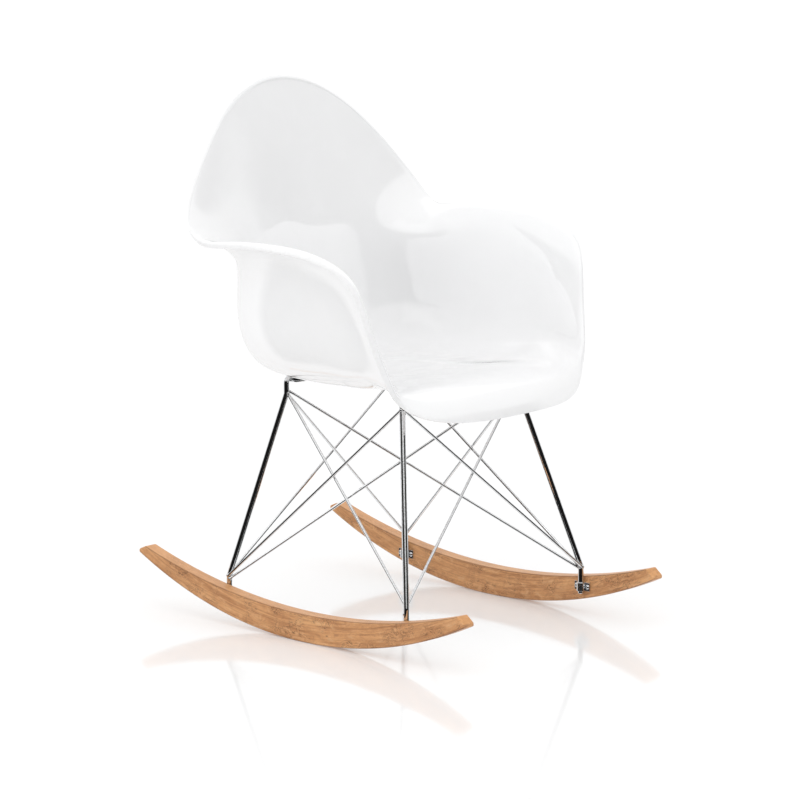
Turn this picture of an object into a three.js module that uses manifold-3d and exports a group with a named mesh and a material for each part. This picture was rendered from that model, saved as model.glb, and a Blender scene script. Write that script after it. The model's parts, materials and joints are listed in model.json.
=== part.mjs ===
// A rocking armchair: a one-piece moulded seat shell on a base of bent and welded
// round rods, clamped to two wooden rockers.
// Millimetres, +Z up, the chair faces -Y, the floor is z = 0 and the origin lies
// under the middle of the rockers. Left and right are the sitter's own.

import * as THREE from "three";
import { ParametricGeometry } from "three/addons/geometries/ParametricGeometry.js";
import { mergeVertices } from "three/addons/utils/BufferGeometryUtils.js";
import Module from "manifold-3d";

const wasm = await Module();
wasm.setup();

// ---- driving sizes ----

const gap = 0.3; // between pieces that touch or are welded

const shellWidth = 537; // over the arms
const shellDepth = 530; // from the front lip to the back
const shellRise = 424; // from the seat to the top of the back
const seatHeight = 405; // floor to the middle of the seat
const shellWall = 5;

const rockerSpan = 692; // tip to tip
const rockerSpacing = 437; // between the middles of the two rockers
const rockerThickness = 24;
const rockerHeight = 44.5; // at its lowest point
const rockerRadius = 770; // of the running edge
const rockerTipHeight = 18.3; // at the rear, where its top edge ends
const contactY = -12; // where the running edge touches the floor
const rockerEndHeight = 5; // of the blunt end
const rockerEndSlant = 14; // how far the blunt end stands out past the top edge
const rockerEndLean = 0.5; // how far the blunt end leans in
const rockerEdgeRound = 2;

const legDiameter = 9;
const braceDiameter = 4.5;
const legBendRadius = 9;
const legTopSpacing = 263; // across the chair, at the upper bends
const legTopFrontY = -129;
const legTopRearY = 116;
const upperBendFrontZ = 366;
const upperBendRearZ = 359;
const legFootFrontY = -203;
const legFootRearY = 174;
const lowerBendFrontZ = 77;
const lowerBendRearZ = 72;
const legTipDrop = 43; // from the lower bend to the tip of the leg

const mountSpacing = 190; // across the chair, between the shell screws
const rubberDiameter = 34;
const rubberThickness = 10.5;
const rubberChamfer = 1;
const bossDiameter = 40;
const bossHeight = 1.8; // how far a boss stands below the shell
const plateWidth = 26;
const plateThickness = 2.5;
const plateCorner = 6;
const shellScrewDiameter = 6;
const shellScrewHeadDiameter = 12;
const shellScrewHeadHeight = 4;
const shellScrewGrip = 4; // thread held in the boss
const shellScrewPoint = 1; // chamfer at the end of the thread

const saddleWidth = 31; // along the rocker
const saddleHeight = 13.5;
const saddleThickness = 2;
const saddleDrop = 32; // from the lower bend to the middle of the saddle
const saddleScrewSpacing = 22.6;
const saddleScrewDiameter = 3.6;
const saddleScrewHeadDiameter = 7;
const saddleScrewHeadHeight = 2.4;
const saddleScrewLength = 17;
const saddleScrewPoint = 4; // of its length

// ---- how finely round shapes are cut into flats ----

const shellColumns = 48;
const shellRows = 9; // on each skin, from the middle of the seat to the crest
const lipRows = 2; // and from the crest to the rim
const legSteps = 32;
const legSides = 10;
const braceSides = 8;
const rockerFlats = 13; // along the running edge
const rockerTopFlats = 20;
const bossSides = 24;
const holeSides = 14;
const rubberSides = 18;
const screwSides = 12;
const splineRounds = 24; // of correction, until a spline meets its points

// ---- materials ----

const finish = (color, roughness, metalness) =>
  new THREE.MeshStandardMaterial({ color, roughness, metalness });
const whitePlastic = () => finish(0xf4f4f4, 0.15, 0);
const chrome = () => finish(0xd8dadd, 0.08, 1);
const rubber = () => finish(0x222222, 0.8, 0);
const oak = () => finish(0xc08a55, 0.55, 0);

// ---- helpers ----

const part = new THREE.Group();
part.name = "rocking_chair";

function addPiece(name, geometry, material) {
  const mesh = new THREE.Mesh(geometry, material);
  mesh.name = name;
  part.add(mesh);
  return mesh;
}

// The closed body of a geometry, with collapsed triangles left out.
function toSolid(geometry) {
  const bare = new THREE.BufferGeometry();
  bare.setAttribute("position", geometry.getAttribute("position").clone());
  if (geometry.index) bare.setIndex(geometry.index.clone());
  const merged = mergeVertices(bare, 1e-3);
  const kept = [];
  const corners = merged.index.array;
  for (let i = 0; i < corners.length; i += 3) {
    const [a, b, c] = corners.slice(i, i + 3);
    if (a !== b && b !== c && c !== a) kept.push(a, b, c);
  }
  return new wasm.Manifold(
    new wasm.Mesh({
      numProp: 3,
      vertProperties: merged.getAttribute("position").array,
      triVerts: new Uint32Array(kept),
    }),
  );
}

function fromSolid(solid) {
  const mesh = solid.getMesh();
  const geometry = new THREE.BufferGeometry();
  geometry.setAttribute("position", new THREE.BufferAttribute(mesh.vertProperties, 3));
  geometry.setIndex(new THREE.BufferAttribute(mesh.triVerts, 1));
  geometry.computeVertexNormals();
  return geometry;
}

const overcut = 1; // how far a cutting tool runs out past the face it cuts

// A cylinder from one point to another.
function rodBetween(start, end, radius, sides) {
  const along = end.clone().sub(start);
  const rod = new THREE.CylinderGeometry(radius, radius, along.length(), sides);
  rod.applyQuaternion(
    new THREE.Quaternion().setFromUnitVectors(new THREE.Vector3(0, 1, 0), along.clone().normalize()),
  );
  const middle = start.clone().add(end).multiplyScalar(0.5);
  return rod.translate(middle.x, middle.y, middle.z);
}

// Straight runs joined by round bends.
function bentPath(points, radius) {
  const path = new THREE.CurvePath();
  let from = points[0];
  for (let i = 1; i < points.length - 1; i++) {
    const corner = points[i];
    const back = from.clone().sub(corner).normalize();
    const ahead = points[i + 1].clone().sub(corner).normalize();
    const halfTurn = back.angleTo(ahead) / 2;
    const reach = radius / Math.tan(halfTurn);
    const bendStart = corner.clone().addScaledVector(back, reach);
    const bendEnd = corner.clone().addScaledVector(ahead, reach);
    path.add(new THREE.LineCurve3(from, bendStart));
    path.add(new THREE.QuadraticBezierCurve3(bendStart, corner, bendEnd));
    from = bendEnd;
  }
  path.add(new THREE.LineCurve3(from, points[points.length - 1]));
  return path;
}

// ---- seat shell ----

// The seat side of the shell is lofted through these stations. They run from the
// middle of the front lip, up the left arm and to the middle of the top of the
// back. Each holds points on the flat of the seat, low, halfway and high on the
// wall, on the crest of the edge and on the rolled lip. They are drawn for a shell
// of the drawn size below, with z counted from the seat, and stretched to the shell.
const drawnWidth = 537;
const drawnDepth = 530;
const drawnRise = 424;
const shellStations = [
  [[0, -165, 1], [0, -211, -3], [0, -233, -12], [0, -247, -25], [0, -254, -38], [0, -257, -50]],
  [[60, -160, 1], [83, -205, -3], [94, -226, -11], [100, -238, -23], [103, -244, -37], [105, -247, -49]],
  [[107, -143, 0], [142, -182, -2], [158, -200, -7], [167, -210, -15], [172, -216, -26], [176, -219, -37]],
  [[136, -119, -2], [175, -150, 3], [191, -168, 5], [200, -182, 3], [205, -194, -3], [211, -197, -14]],
  [[148, -95, -4], [194, -121, 13], [210, -141, 24], [216, -164, 29], [221, -187, 28], [231, -184, 19]],
  [[154, -65, -6], [205, -89, 18], [219, -114, 52], [225, -143, 82], [236, -170, 90], [248, -165, 87]],
  [[156, -35, -7], [210, -58, 23], [226, -80, 80], [232, -112, 134], [250, -149, 163], [263, -142, 158]],
  [[156, -5, -8], [212, -22, 25], [229, -42, 96], [235, -72, 160], [256, -103, 198], [269, -100, 189]],
  [[154, 25, -8], [213, 18, 24], [228, 10, 100], [233, -6, 168], [251, -32, 210], [265, -32, 199]],
  [[148, 55, -8], [210, 61, 22], [226, 63, 98], [229, 56, 168], [248, 44, 211], [262, 44, 200]],
  [[138, 82, -8], [199, 103, 20], [216, 113, 98], [218, 112, 168], [248, 112, 207], [262, 113, 196]],
  [[122, 104, -8], [178, 141, 21], [195, 153, 100], [200, 154, 172], [254, 164, 205], [267, 167, 195]],
  [[102, 118, -8], [144, 164, 25], [161, 180, 108], [176, 186, 188], [252, 196, 228], [262, 203, 223]],
  [[76, 128, -8], [104, 176, 27], [119, 196, 119], [148, 205, 215], [222, 216, 274], [230, 225, 273]],
  [[50, 133, -8], [67, 180, 30], [77, 202, 130], [102, 219, 245], [160, 236, 340], [165, 246, 341]],
  [[25, 136, -8], [33, 183, 31], [38, 207, 136], [51, 226, 262], [86, 255, 390], [88, 265, 392]],
  [[0, 137, -8], [0, 184, 32], [0, 209, 138], [0, 229, 267], [0, 261, 409], [0, 271, 411]],
];
const seatMiddle = new THREE.Vector3(0, -10, seatHeight);
const seatInnerShare = 0.5; // where an extra ring lies between the middle and the seat points
const lipShare = 0.968; // how far along each station's curve the lip is cut off

// Cubic B-spline weights at t between the second and the third of four controls.
function splineWeights(t) {
  const s = 1 - t;
  return [
    (s * s * s) / 6,
    (3 * t * t * t - 6 * t * t + 4) / 6,
    (3 * s * s * s - 6 * s * s + 4) / 6,
    (t * t * t) / 6,
  ];
}

// Moves the controls of a spline until it runs through the given points.
function splineControls(points, pick) {
  const controls = points.map((p) => p.clone());
  for (let round = 0; round < splineRounds; round++)
    controls.forEach((control, i) => {
      const around = pick(controls, i - 1).clone().add(pick(controls, i + 1));
      const reached = control.clone().multiplyScalar(4).add(around).divideScalar(6);
      control.add(points[i].clone().sub(reached));
    });
  return controls;
}

const wrapped = (list, i) => list[(i + list.length) % list.length];

// Past an open end the controls go on in a straight line.
function unwrapped(list, i) {
  if (i < 0) return list[0].clone().multiplyScalar(2).sub(list[1]);
  const last = list.length - 1;
  if (i > last) return list[last].clone().multiplyScalar(2).sub(list[last - 1]);
  return list[i];
}

function splineAt(controls, pick, t) {
  const first = Math.floor(t) - 1;
  const at = new THREE.Vector3();
  splineWeights(t - Math.floor(t)).forEach((weight, i) =>
    at.addScaledVector(pick(controls, first + i), weight),
  );
  return at;
}

function makeShellRings() {
  const half = shellStations.map((station) =>
    station.map(
      ([x, y, z]) =>
        new THREE.Vector3(
          (x * shellWidth) / drawnWidth,
          (y * shellDepth) / drawnDepth,
          seatHeight + (z * shellRise) / drawnRise,
        ),
    ),
  );
  const mirrored = half
    .slice(1, -1)
    .reverse()
    .map((station) => station.map((p) => new THREE.Vector3(-p.x, p.y, p.z)));
  const stations = [...half, ...mirrored].map((station) => [
    seatMiddle,
    seatMiddle.clone().lerp(station[0], seatInnerShare),
    ...station,
  ]);
  return stations[0].map((_, ring) =>
    splineControls(stations.map((station) => station[ring]), wrapped),
  );
}

const shellRings = makeShellRings();

// A point of the seat side: u runs round the shell from the middle of the front
// lip, and v runs from the middle of the seat, 0, to the last ring of points, 1.
function seatSide(u, v) {
  const section = shellRings.map((ring) => splineAt(ring, wrapped, u * ring.length));
  const controls = splineControls(section, unwrapped);
  return splineAt(controls, unwrapped, v * (section.length - 1));
}

// The underside lies one wall below the seat side, along its normal.
const normalStep = 0.004;

function underSide(u, v) {
  const at = Math.max(v, normalStep);
  const around = seatSide((u + normalStep) % 1, at).sub(seatSide((u - normalStep + 1) % 1, at));
  const outward = seatSide(u, at + normalStep).sub(seatSide(u, at - normalStep));
  const down = around.cross(outward).normalize();
  if (v < normalStep) down.set(0, 0, -1);
  return seatSide(u, v).addScaledVector(down, shellWall);
}

// How far out a row of the cut shell lies. The crest is the last ring but one.
const crestShare = (shellRings.length - 2) / (shellRings.length - 1);

function rowShare(row) {
  if (row <= shellRows) return (row / shellRows) * crestShare;
  return crestShare + ((row - shellRows) / lipRows) * (lipShare - crestShare);
}

// The height of the underside at a place on the seat.
function undersideHeight(x, y) {
  let nearest = null;
  for (let i = 0; i < shellColumns; i++)
    for (let j = 1; j < shellRows; j++) {
      const at = underSide(i / shellColumns, rowShare(j));
      const distance = Math.hypot(at.x - x, at.y - y);
      if (!nearest || distance < nearest.distance) nearest = { distance, z: at.z };
    }
  return nearest.z;
}

const legs = [];
for (const [end, sy] of [["front", -1], ["rear", 1]])
  for (const [side, sx] of [["left", 1], ["right", -1]]) {
    const front = sy < 0;
    const topX = (sx * legTopSpacing) / 2;
    const topY = front ? legTopFrontY : legTopRearY;
    const mountX = (sx * mountSpacing) / 2;
    legs.push({
      name: end + "_" + side,
      sx,
      top: new THREE.Vector3(topX, topY, front ? upperBendFrontZ : upperBendRearZ),
      mount: new THREE.Vector3(mountX, topY, undersideHeight(mountX, topY) - bossHeight),
    });
  }

function makeShell() {
  // One sheet of rows runs out along the underside, over the rim and back to the
  // middle of the seat.
  const skinRows = shellRows + lipRows;
  const rows = skinRows * 2 + 1;
  const skins = new ParametricGeometry(
    (u, v, target) => {
      const row = Math.round(v * rows);
      const out = rowShare(Math.min(row, rows - row));
      target.copy(row <= skinRows ? underSide(u % 1, out) : seatSide(u % 1, out));
    },
    shellColumns,
    rows,
  );
  let shell = toSolid(skins);
  for (const { mount } of legs) {
    const bossTop = mount.z + bossHeight + shellWall / 2;
    const boss = rodBetween(mount, mount.clone().setZ(bossTop), bossDiameter / 2, bossSides);
    shell = shell.add(toSolid(boss));
  }
  for (const { mount } of legs) {
    const mouth = mount.clone().setZ(mount.z - overcut);
    const bottom = mount.clone().setZ(mount.z + shellScrewGrip + gap);
    const hole = rodBetween(mouth, bottom, shellScrewDiameter / 2 + gap, holeSides);
    shell = shell.subtract(toSolid(hole));
  }
  return fromSolid(shell);
}

addPiece("seat_shell", makeShell(), whitePlastic());

// ---- what holds the shell on the legs ----

function roundedPlate(length, width, corner) {
  const shape = new THREE.Shape();
  const x = length / 2;
  const y = width / 2;
  shape.moveTo(-x + corner, -y);
  shape.absarc(x - corner, -y + corner, corner, -Math.PI / 2, 0);
  shape.absarc(x - corner, y - corner, corner, 0, Math.PI / 2);
  shape.absarc(-x + corner, y - corner, corner, Math.PI / 2, Math.PI);
  shape.absarc(-x + corner, -y + corner, corner, Math.PI, 1.5 * Math.PI);
  return shape;
}

const plateInnerEnd = plateWidth / 2; // from the screw towards the middle of the chair
const plateOuterEnd = (legTopSpacing - mountSpacing) / 2 - legBendRadius - gap; // short of the bend
const rubberTop = (mount) => mount.z - gap;
const plateTop = (mount) => rubberTop(mount) - rubberThickness - gap;
const legEndAxis = (mount) => plateTop(mount) + gap + legDiameter / 2;

// A profile of radius and height pairs, turned round a vertical axis.
function turned(profile, sides, at) {
  const shape = new THREE.LatheGeometry(profile.map(([r, h]) => new THREE.Vector2(r, h)), sides);
  return shape.rotateX(Math.PI / 2).translate(at.x, at.y, at.z);
}

function makeRubberMount(mount) {
  const outer = rubberDiameter / 2;
  const inner = shellScrewDiameter / 2 + gap;
  const profile = [
    [inner, 0],
    [outer - rubberChamfer, 0],
    [outer, rubberChamfer],
    [outer, rubberThickness - rubberChamfer],
    [outer - rubberChamfer, rubberThickness],
    [inner, rubberThickness],
    [inner, 0],
  ];
  return turned(profile, rubberSides, mount.clone().setZ(rubberTop(mount) - rubberThickness));
}

function makeMountPlate(mount, sx) {
  const outline = roundedPlate(plateInnerEnd + plateOuterEnd, plateWidth, plateCorner);
  const middle = mount.x + (sx * (plateOuterEnd - plateInnerEnd)) / 2;
  const hole = new THREE.Path();
  hole.absarc(mount.x - middle, 0, shellScrewDiameter / 2 + gap, 0, 2 * Math.PI, true);
  outline.holes.push(hole);
  const plate = new THREE.ExtrudeGeometry(outline, {
    depth: plateThickness,
    bevelEnabled: false,
    curveSegments: 4,
  });
  return plate.translate(middle, mount.y, plateTop(mount) - plateThickness);
}

function makeShellScrew(mount) {
  const headTop = mount.clone().setZ(plateTop(mount) - plateThickness - gap);
  const head = shellScrewHeadDiameter / 2;
  const shank = shellScrewDiameter / 2;
  const length = mount.z + shellScrewGrip - headTop.z;
  const profile = [
    [0, -shellScrewHeadHeight],
    [head * 0.7, -shellScrewHeadHeight],
    [head, -shellScrewHeadHeight / 2],
    [head, 0],
    [shank, 0],
    [shank, length - shellScrewPoint],
    [shank - shellScrewPoint, length],
    [0, length],
  ];
  return turned(profile, screwSides, headTop);
}

for (const { name, mount, sx } of legs) {
  addPiece("rubber_mount_" + name, makeRubberMount(mount), rubber());
  addPiece("mount_plate_" + name, makeMountPlate(mount, sx), chrome());
  addPiece("shell_screw_" + name, makeShellScrew(mount), chrome());
}

// ---- legs ----

const rockerFace = rockerSpacing / 2 - rockerThickness / 2; // inner face, from the middle
const legFootX = rockerFace - gap - legDiameter / 2;
const legEndFromScrew = rubberDiameter / 2 + gap; // the rod stops short of the rubber

for (const leg of legs) {
  const front = leg.top.y < 0;
  leg.foot = new THREE.Vector3(
    leg.sx * legFootX,
    front ? legFootFrontY : legFootRearY,
    front ? lowerBendFrontZ : lowerBendRearZ,
  );
  const elbow = leg.top.clone().setZ(legEndAxis(leg.mount));
  const inner = elbow.clone().setX(leg.mount.x + leg.sx * legEndFromScrew);
  const tip = leg.foot.clone().setZ(leg.foot.z - legTipDrop);
  leg.axis = [inner, elbow, leg.top, leg.foot, tip];
  const section = new THREE.Shape();
  section.absarc(0, 0, legDiameter / 2, 0, 2 * Math.PI);
  const rod = new THREE.ExtrudeGeometry(section, {
    extrudePath: bentPath(leg.axis, legBendRadius),
    steps: legSteps,
    curveSegments: legSides / 2,
  });
  addPiece("leg_rod_" + leg.name, rod, chrome());
}

// ---- braces ----

// Each leg top is braced to the feet of the other three legs. Braces that cross
// are set one to each side of the crossing, so that they lie against each other.
const braceOffset = braceDiameter / 2 + gap;
const diagonalTopLift = 6; // one pair of diagonals leaves above the bends, the other below
const diagonalFootDrop = 6; // diagonals meet the feet below the other braces
const diagonalFootTwist = 1.2;

function clearance(leg, point) {
  const nearest = new THREE.Vector3();
  const runs = leg.axis.slice(1).map((end, i) => new THREE.Line3(leg.axis[i], end));
  return Math.min(
    ...runs.map((run) => run.closestPointToPoint(point, true, nearest).distanceTo(point)),
  );
}

const drawBackStep = 0.3;

// Draws the square end of a brace back until its rim is clear of the leg, whose
// bends run a little inside its corners.
function drawBack(end, leg, along) {
  const side = new THREE.Vector3(along.y, -along.x, 0).setLength(braceDiameter / 2);
  const rim = Array.from({ length: braceSides * 2 }, (_, i) =>
    side.clone().applyAxisAngle(along, (i * Math.PI) / braceSides),
  );
  while (rim.some((r) => clearance(leg, end.clone().add(r)) < legDiameter / 2 + 2 * gap))
    end.addScaledVector(along, drawBackStep);
}

function makeBrace(name, from, to, sideways, topLift, footLift) {
  const start = from.top.clone().add(sideways);
  const end = to.foot.clone().add(sideways);
  start.z += topLift;
  end.z += footLift;
  const along = end.clone().sub(start).normalize();
  drawBack(start, from, along);
  drawBack(end, to, along.clone().negate());
  addPiece(name, rodBetween(start, end, braceDiameter / 2, braceSides), chrome());
}

const [frontLeft, frontRight, rearLeft, rearRight] = legs;
for (const [side, front, rear] of [["left", frontLeft, rearLeft], ["right", frontRight, rearRight]]) {
  const outward = new THREE.Vector3(front.sx * braceOffset, 0, 0);
  makeBrace("side_brace_" + side + "_from_front", front, rear, outward, 0, 0);
  makeBrace("side_brace_" + side + "_from_rear", rear, front, outward.clone().negate(), 0, 0);
}
for (const [end, left, right] of [["front", frontLeft, frontRight], ["rear", rearLeft, rearRight]]) {
  const rearward = new THREE.Vector3(0, braceOffset, 0);
  makeBrace(end + "_brace_from_left", left, right, rearward, 0, 0);
  makeBrace(end + "_brace_from_right", right, left, rearward.clone().negate(), 0, 0);
}
for (const [from, to, twist] of [
  [frontLeft, rearRight, 1],
  [rearRight, frontLeft, 1],
  [frontRight, rearLeft, -1],
  [rearLeft, frontRight, -1],
]) {
  const along = to.foot.clone().sub(from.top).setZ(0).normalize();
  const sideways = new THREE.Vector3(-along.y, along.x, 0).multiplyScalar(twist * braceOffset);
  makeBrace(
    "diagonal_brace_from_" + from.name,
    from,
    to,
    sideways,
    twist * diagonalTopLift,
    twist * diagonalFootTwist - diagonalFootDrop,
  );
}

// ---- rockers ----

const rockerEnd = rockerSpan / 2;
const topEnd = rockerEnd - rockerEndSlant;
const runZ = (y) => rockerRadius - Math.sqrt(rockerRadius ** 2 - (y - contactY) ** 2);

// The top edge is an arc from the lowest point to the tip at the rear.
const topRun = topEnd - contactY;
const topRise = runZ(topEnd) + rockerTipHeight - rockerHeight;
const rockerTopRadius = (topRun ** 2 + topRise ** 2) / (2 * topRise);
const topZ = (y) =>
  rockerHeight + rockerTopRadius - Math.sqrt(rockerTopRadius ** 2 - (y - contactY) ** 2);

function rockerOutline() {
  const shape = new THREE.Shape();
  // The running edge is cut into flats that touch its circle. One lies level on the
  // floor, and the last corner before each end leaves room for a whole flat.
  const flat = (2 * Math.asin(rockerEnd / rockerRadius)) / rockerFlats;
  const cornerRadius = rockerRadius / Math.cos(flat / 2);
  shape.moveTo(-rockerEnd, runZ(-rockerEnd));
  for (let i = -rockerFlats; i < rockerFlats; i++) {
    const angle = (i + 0.5) * flat;
    const y = contactY + cornerRadius * Math.sin(angle);
    if (Math.abs(y) < rockerEnd - (flat * rockerRadius) / 2)
      shape.lineTo(y, rockerRadius - cornerRadius * Math.cos(angle));
  }
  shape.lineTo(rockerEnd, runZ(rockerEnd));
  shape.lineTo(rockerEnd - rockerEndLean, runZ(rockerEnd) + rockerEndHeight);
  for (let i = 0; i <= rockerTopFlats; i++) {
    const y = topEnd * (1 - (2 * i) / rockerTopFlats);
    shape.lineTo(y, topZ(y));
  }
  shape.lineTo(-rockerEnd + rockerEndLean, runZ(-rockerEnd) + rockerEndHeight);
  return shape;
}

const saddleAxis = (leg) => leg.foot.clone().setZ(leg.foot.z - saddleDrop);
const saddleScrewHole = saddleScrewDiameter / 2 + gap;

function makeRocker(sx) {
  const slab = new THREE.ExtrudeGeometry(rockerOutline(), {
    depth: rockerThickness - 2 * rockerEdgeRound,
    bevelThickness: rockerEdgeRound,
    bevelSize: rockerEdgeRound,
    bevelOffset: -rockerEdgeRound,
    bevelSegments: 1,
  });
  // The outline's x and y become the chair's y and z.
  slab.applyMatrix4(new THREE.Matrix4().set(0, 0, 1, 0, 1, 0, 0, 0, 0, 1, 0, 0, 0, 0, 0, 1));
  slab.translate((sx * rockerSpacing) / 2 - rockerThickness / 2 + rockerEdgeRound, 0, 0);
  let rocker = toSolid(slab);
  for (const leg of legs.filter((one) => one.sx === sx))
    for (const along of [-1, 1]) {
      const mouth = saddleAxis(leg).setX(sx * (rockerFace - overcut));
      mouth.y += (along * saddleScrewSpacing) / 2;
      const bottom = mouth.clone().setX(sx * (rockerFace + saddleScrewLength - saddleThickness));
      const hole = rodBetween(mouth, bottom, saddleScrewHole, holeSides);
      rocker = rocker.subtract(toSolid(hole));
    }
  return fromSolid(rocker);
}

addPiece("rocker_left", makeRocker(1), oak());
addPiece("rocker_right", makeRocker(-1), oak());

// ---- saddles that clamp the legs to the rockers ----

// Drawn with x along the rocker and y away from its inner face.
function saddleOutline() {
  const shape = new THREE.Shape();
  const x = saddleWidth / 2;
  const axis = gap + legDiameter / 2;
  const inner = legDiameter / 2 + gap;
  const outer = inner + saddleThickness;
  const foot = gap;
  const ear = foot + saddleThickness;
  shape.moveTo(-x, foot);
  shape.lineTo(-inner, foot);
  shape.lineTo(-inner, axis);
  shape.absarc(0, axis, inner, Math.PI, 0, true);
  shape.lineTo(inner, foot);
  shape.lineTo(x, foot);
  shape.lineTo(x, ear);
  shape.lineTo(outer, ear);
  shape.lineTo(outer, axis);
  shape.absarc(0, axis, outer, 0, Math.PI, false);
  shape.lineTo(-outer, ear);
  shape.lineTo(-x, ear);
  return shape;
}

function makeSaddle(leg) {
  const strap = new THREE.ExtrudeGeometry(saddleOutline(), {
    depth: saddleHeight,
    bevelEnabled: false,
    curveSegments: 10,
  });
  const axis = saddleAxis(leg);
  strap.translate(0, 0, -saddleHeight / 2);
  strap.rotateZ((leg.sx * Math.PI) / 2);
  strap.translate(leg.sx * rockerFace, axis.y, axis.z);
  return toSolid(strap);
}

function makeSaddleScrew(sx, headSeat) {
  const shank = saddleScrewDiameter / 2;
  const head = saddleScrewHeadDiameter / 2;
  const profile = [
    [0, -saddleScrewHeadHeight],
    [head * 0.55, -saddleScrewHeadHeight * 0.88],
    [head * 0.9, -saddleScrewHeadHeight * 0.45],
    [head, 0],
    [shank, 0],
    [shank, saddleScrewLength - saddleScrewPoint],
    [0, saddleScrewLength],
  ];
  const screw = new THREE.LatheGeometry(profile.map(([r, h]) => new THREE.Vector2(r, h)), screwSides);
  return screw.rotateZ((-sx * Math.PI) / 2).translate(headSeat.x, headSeat.y, headSeat.z);
}

for (const leg of legs) {
  let saddle = makeSaddle(leg);
  for (const [end, along] of [["fore", -1], ["aft", 1]]) {
    const fromFace = (distance) => {
      const place = saddleAxis(leg).setX(leg.sx * (rockerFace - distance));
      place.y += (along * saddleScrewSpacing) / 2;
      return place;
    };
    const through = rodBetween(fromFace(saddleThickness + overcut), fromFace(0), saddleScrewHole, holeSides);
    saddle = saddle.subtract(toSolid(through));
    const screw = makeSaddleScrew(leg.sx, fromFace(gap + saddleThickness + gap));
    addPiece("saddle_screw_" + leg.name + "_" + end, screw, chrome());
  }
  addPiece("rod_saddle_" + leg.name, fromSolid(saddle), chrome());
}

export default part;
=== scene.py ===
import json
import math

import bmesh
import bpy
from mathutils import Matrix, Vector


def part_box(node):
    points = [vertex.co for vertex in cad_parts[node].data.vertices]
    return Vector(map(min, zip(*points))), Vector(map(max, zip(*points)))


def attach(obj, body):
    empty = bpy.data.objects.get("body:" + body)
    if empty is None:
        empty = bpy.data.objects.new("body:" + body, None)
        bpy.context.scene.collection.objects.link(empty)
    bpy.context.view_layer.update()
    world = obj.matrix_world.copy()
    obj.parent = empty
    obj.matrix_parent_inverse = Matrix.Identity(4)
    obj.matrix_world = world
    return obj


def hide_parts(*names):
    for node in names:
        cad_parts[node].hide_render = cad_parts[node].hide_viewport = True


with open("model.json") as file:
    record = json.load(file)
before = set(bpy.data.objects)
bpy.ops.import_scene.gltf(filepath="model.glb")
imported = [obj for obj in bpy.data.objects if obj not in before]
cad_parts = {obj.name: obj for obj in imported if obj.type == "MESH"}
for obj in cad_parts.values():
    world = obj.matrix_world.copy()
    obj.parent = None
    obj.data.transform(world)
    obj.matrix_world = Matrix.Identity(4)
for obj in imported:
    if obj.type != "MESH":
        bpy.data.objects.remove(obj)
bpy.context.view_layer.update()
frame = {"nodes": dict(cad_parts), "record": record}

# A rocking armchair: a moulded seat shell on a welded chrome base, clamped to two
# wooden rockers. Metres, +Z up. The sitter faces -Y and has +X on the left.

sides = {"left": 1, "right": -1}
ends = {"front": -1, "rear": 1}
corners = [end + "_" + side for end in ends for side in sides]


def cornerOf(name):
    end, side = name.split("_")
    return ends[end], sides[side]


class Wire:
    # a socket that Python's operators can be used on
    def __init__(self, tree, socket):
        self.tree = tree
        self.socket = socket

    def feed(self, socket):
        self.tree.links.new(self.socket, socket)

    def maths(self, operation, *values):
        node = self.tree.nodes.new("ShaderNodeMath")
        node.operation = operation
        for socket, value in zip(node.inputs, values):
            connect(value, socket)
        return Wire(self.tree, node.outputs[0])

    def __add__(self, other):
        return self.maths("ADD", self, other)

    def __sub__(self, other):
        return self.maths("SUBTRACT", self, other)

    def __rsub__(self, other):
        return self.maths("SUBTRACT", other, self)

    def __mul__(self, other):
        return self.maths("MULTIPLY", self, other)

    __radd__ = __add__
    __rmul__ = __mul__


def connect(value, socket):
    if isinstance(value, Wire):
        value.feed(socket)
    elif socket.type == "RGBA" and len(value) == 3:
        socket.default_value = (*value, 1)
    else:
        socket.default_value = value


class Finish:
    # one material and its node tree
    def __init__(self, name, **fixed):
        self.material = bpy.data.materials.new(name)
        self.material.use_nodes = True
        self.tree = self.material.node_tree
        self.surface = self.tree.nodes["Principled BSDF"]
        for socket, value in fixed.items():
            connect(value, self.surface.inputs[socket.replace("_", " ")])

    def node(self, kind, settings=None, out=0, **values):
        made = self.tree.nodes.new(kind)
        for setting, value in (settings or {}).items():
            if setting == "stops":
                placeStops(made.color_ramp, value)
            else:
                setattr(made, setting, value)
        for socket, value in values.items():
            connect(value, made.inputs[socket.replace("_", " ")])
        return Wire(self.tree, made.outputs[out])

    def paint(self, **values):
        for socket, value in values.items():
            connect(value, self.surface.inputs[socket.replace("_", " ")])
        return self.material

    def place(self, scale=(1, 1, 1), source=None):
        source = source or self.node("ShaderNodeTexCoord", out="Object")
        return self.node("ShaderNodeMapping", Vector=source, Scale=scale)

    def noise(self, place, scale, detail=4, roughness=0.5, distortion=0):
        return self.node("ShaderNodeTexNoise", Vector=place, Scale=scale, Detail=detail,
                         Roughness=roughness, Distortion=distortion)

    def attribute(self, name, out="Fac"):
        return self.node("ShaderNodeAttribute", {"attribute_name": name}, out)

    def between(self, value, low, high):
        # 0 below low, 1 above high and smooth in between
        return self.node("ShaderNodeMapRange", {"interpolation_type": "SMOOTHSTEP"}, Value=value,
                         From_Min=low, From_Max=high)

    def blend(self, share, first, second, mode="MIX"):
        made = self.tree.nodes.new("ShaderNodeMix")
        made.data_type = "RGBA"
        made.blend_type = mode
        connect(share, made.inputs[0])
        connect(first, made.inputs[6])
        connect(second, made.inputs[7])
        return Wire(self.tree, made.outputs[2])

    def bump(self, height, strength, distance):
        return self.node("ShaderNodeBump", Height=height, Strength=strength, Distance=distance)


def placeStops(ramp, stops):
    while len(ramp.elements) < len(stops):
        ramp.elements.new(0.5)
    for element, (position, colour) in zip(ramp.elements, stops):
        element.position = position
        element.color = (*colour, 1)


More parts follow.
